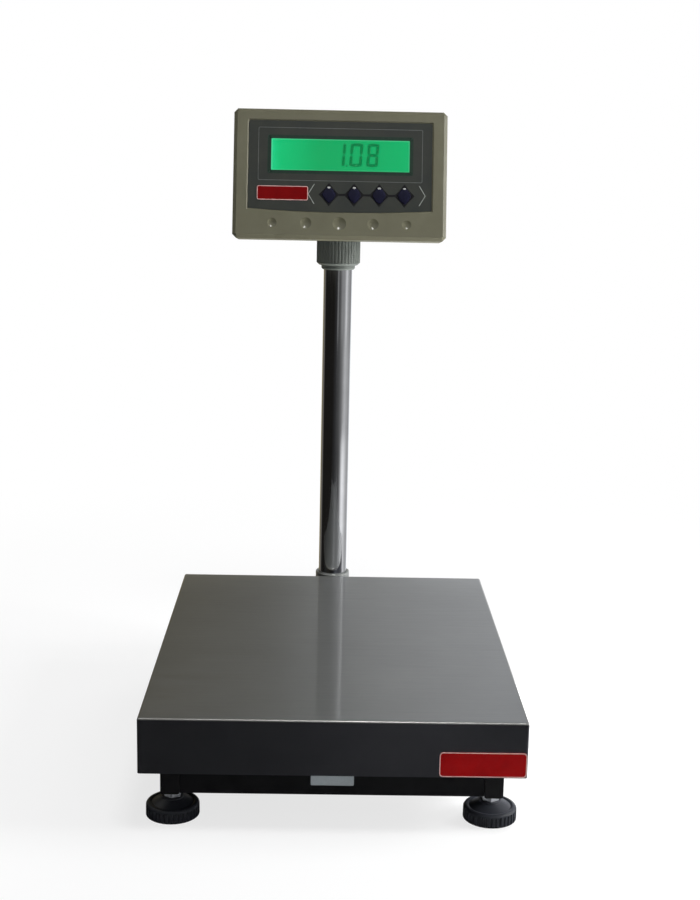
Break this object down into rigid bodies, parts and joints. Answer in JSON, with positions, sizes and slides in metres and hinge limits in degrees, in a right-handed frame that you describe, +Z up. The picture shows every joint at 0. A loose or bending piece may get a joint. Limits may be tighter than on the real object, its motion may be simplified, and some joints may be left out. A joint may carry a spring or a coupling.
{
  "type": "bench scale",
  "caption": "Bench scale with a lift-off stainless pan on a load cell frame, levelling feet, and a column with a swivelling, tilting indicator head with a lit display.",
  "frame": {"origin": "on the floor, below the middle of the bounding box", "axes": "+Z up, the front of the pan faces -Y, +X to the user's right"},
  "size_m": [0.4, 0.582, 0.7428],
  "materials": {
    "painted_steel": "black powder coat, satin",
    "black_plastic": "moulded, matt",
    "steel_hardware": "zinc-plated steel",
    "foot_plastic": "moulded nylon, satin",
    "foot_rubber": "moulded rubber, matt",
    "zinc_plated": "zinc-plated steel",
    "cell_aluminium": "milled, clear anodised",
    "level_plastic": "moulded, glossy",
    "level_clear": "clear moulding over tinted liquid",
    "plate_metal": "satin foil",
    "socket_steel": "turned steel, satin",
    "column_chrome": "polished",
    "swivel_plastic": "moulded, satin",
    "washer_nylon": "nylon",
    "stainless": "brushed stainless sheet",
    "badge_red": "glossy plate with a pale border",
    "housing_plastic": "moulded, fine texture",
    "panel_film": "printed film, satin",
    "window_clear": "clear acrylic",
    "lcd_green": "lit display",
    "board_green": "solder mask",
    "key_blue": "moulded, glossy"
  },
  "bodies": {
    "base": {"side_rails": "painted_steel", "front_beam": "painted_steel", "rear_beam": "painted_steel", "base_spine": "painted_steel", "rail_end_caps": "black_plastic", "foot_bushes": "steel_hardware", "load_cell": "cell_aluminium", "cell_spacer_lower": "cell_aluminium", "cell_spacer_upper": "cell_aluminium", "cell_bolts_lower": "steel_hardware", "cell_bolts_upper": "steel_hardware", "upper_spine": "painted_steel", "upper_arms": "painted_steel", "pan_bumpers": "foot_rubber", "overload_stops": "steel_hardware", "stop_nuts": "steel_hardware", "level_body": "level_plastic", "level_lens": "level_clear", "type_plate": "plate_metal", "column_bracket": "painted_steel", "bracket_bolts": "steel_hardware", "column_socket": "socket_steel", "socket_screws": "steel_hardware", "column_tube": "column_chrome", "column_cap": "swivel_plastic"},
    "pan": {"platform_pan": "stainless", "front_badge": "badge_red"},
    "yoke": {"tilt_yoke": "swivel_plastic", "tilt_pin": "steel_hardware", "friction_washers": "washer_nylon"},
    "collar": {"swivel_collar": "swivel_plastic"},
    "head": {"front_housing": "housing_plastic", "rear_housing": "housing_plastic", "housing_seal": "foot_rubber", "housing_screws": "steel_hardware", "panel_overlay": "panel_film", "display_window": "window_clear", "lcd_panel": "lcd_green", "lcd_holder": "black_plastic", "main_board": "board_green", "board_screws": "steel_hardware", "key_switches": "black_plastic", "battery": "black_plastic", "power_inlet": "black_plastic"},
    "key_1": {"key_1": "key_blue"},
    "key_2": {"key_2": "key_blue"},
    "key_3": {"key_3": "key_blue"},
    "key_4": {"key_4": "key_blue"},
    "sole_front_left": {"foot_sole_front_left": "foot_rubber"},
    "foot_front_left": {"foot_pad_front_left": "foot_plastic", "foot_stud_front_left": "zinc_plated"},
    "sole_front_right": {"foot_sole_front_right": "foot_rubber"},
    "foot_front_right": {"foot_pad_front_right": "foot_plastic", "foot_stud_front_right": "zinc_plated"},
    "sole_rear_left": {"foot_sole_rear_left": "foot_rubber"},
    "foot_rear_left": {"foot_pad_rear_left": "foot_plastic", "foot_stud_rear_left": "zinc_plated"},
    "sole_rear_right": {"foot_sole_rear_right": "foot_rubber"},
    "foot_rear_right": {"foot_pad_rear_right": "foot_plastic", "foot_stud_rear_right": "zinc_plated"}
  },
  "joints": [
    {"name": "pan_lift", "type": "slide", "parent": "base", "child": "pan", "axis": [0, 0, 1], "range_m": [0, 0.12]},
    {"name": "head_swivel", "type": "hinge", "parent": "base", "child": "yoke", "pos_m": [0, 0.24437, 0.5505], "axis": [0, 0, 1], "range_deg": [-165, 165]},
    {"name": "collar_turn", "type": "hinge", "parent": "yoke", "child": "collar", "pos_m": [0, 0.24437, 0.5815], "axis": [0, 0, 1], "range_deg": [0, 90]},
    {"name": "head_tilt", "type": "hinge", "parent": "yoke", "child": "head", "pos_m": [0, 0.24437, 0.6125], "axis": [-1, 0, 0], "range_deg": [-14, 30]},
    {"name": "key_1_press", "type": "slide", "parent": "head", "child": "key_1", "axis": [0, 0.9703, -0.2419], "range_m": [0, 0.0008], "stiffness_N_per_m": 900, "springref_m": -0.001},
    {"name": "key_2_press", "type": "slide", "parent": "head", "child": "key_2", "axis": [0, 0.9703, -0.2419], "range_m": [0, 0.0008], "stiffness_N_per_m": 900, "springref_m": -0.001},
    {"name": "key_3_press", "type": "slide", "parent": "head", "child": "key_3", "axis": [0, 0.9703, -0.2419], "range_m": [0, 0.0008], "stiffness_N_per_m": 900, "springref_m": -0.001},
    {"name": "key_4_press", "type": "slide", "parent": "head", "child": "key_4", "axis": [0, 0.9703, -0.2419], "range_m": [0, 0.0008], "stiffness_N_per_m": 900, "springref_m": -0.001},
    {"name": "front_left_raise", "type": "slide", "parent": "base", "child": "sole_front_left", "axis": [0, 0, 1], "range_m": [-0.012, 0.0045]},
    {"name": "front_left_turn", "type": "hinge", "parent": "sole_front_left", "child": "foot_front_left", "pos_m": [-0.169, -0.24063, 0], "axis": [0, 0, 1], "range_deg": [-2880, 1080]},
    {"name": "front_right_raise", "type": "slide", "parent": "base", "child": "sole_front_right", "axis": [0, 0, 1], "range_m": [-0.012, 0.0045]},
    {"name": "front_right_turn", "type": "hinge", "parent": "sole_front_right", "child": "foot_front_right", "pos_m": [0.169, -0.24063, 0], "axis": [0, 0, 1], "range_deg": [-2880, 1080]},
    {"name": "rear_left_raise", "type": "slide", "parent": "base", "child": "sole_rear_left", "axis": [0, 0, 1], "range_m": [-0.012, 0.0045]},
    {"name": "rear_left_turn", "type": "hinge", "parent": "sole_rear_left", "child": "foot_rear_left", "pos_m": [-0.169, 0.15937, 0], "axis": [0, 0, 1], "range_deg": [-2880, 1080]},
    {"name": "rear_right_raise", "type": "slide", "parent": "base", "child": "sole_rear_right", "axis": [0, 0, 1], "range_m": [-0.012, 0.0045]},
    {"name": "rear_right_turn", "type": "hinge", "parent": "sole_rear_right", "child": "foot_rear_right", "pos_m": [0.169, 0.15937, 0], "axis": [0, 0, 1], "range_deg": [-2880, 1080]}
  ],
  "couplings": [
    {"joint": "front_left_turn", "follows": "front_left_raise", "rad_per_m": 4188.8},
    {"joint": "front_right_turn", "follows": "front_right_raise", "rad_per_m": 4188.8},
    {"joint": "rear_left_turn", "follows": "rear_left_raise", "rad_per_m": 4188.8},
    {"joint": "rear_right_turn", "follows": "rear_right_raise", "rad_per_m": 4188.8}
  ]
}
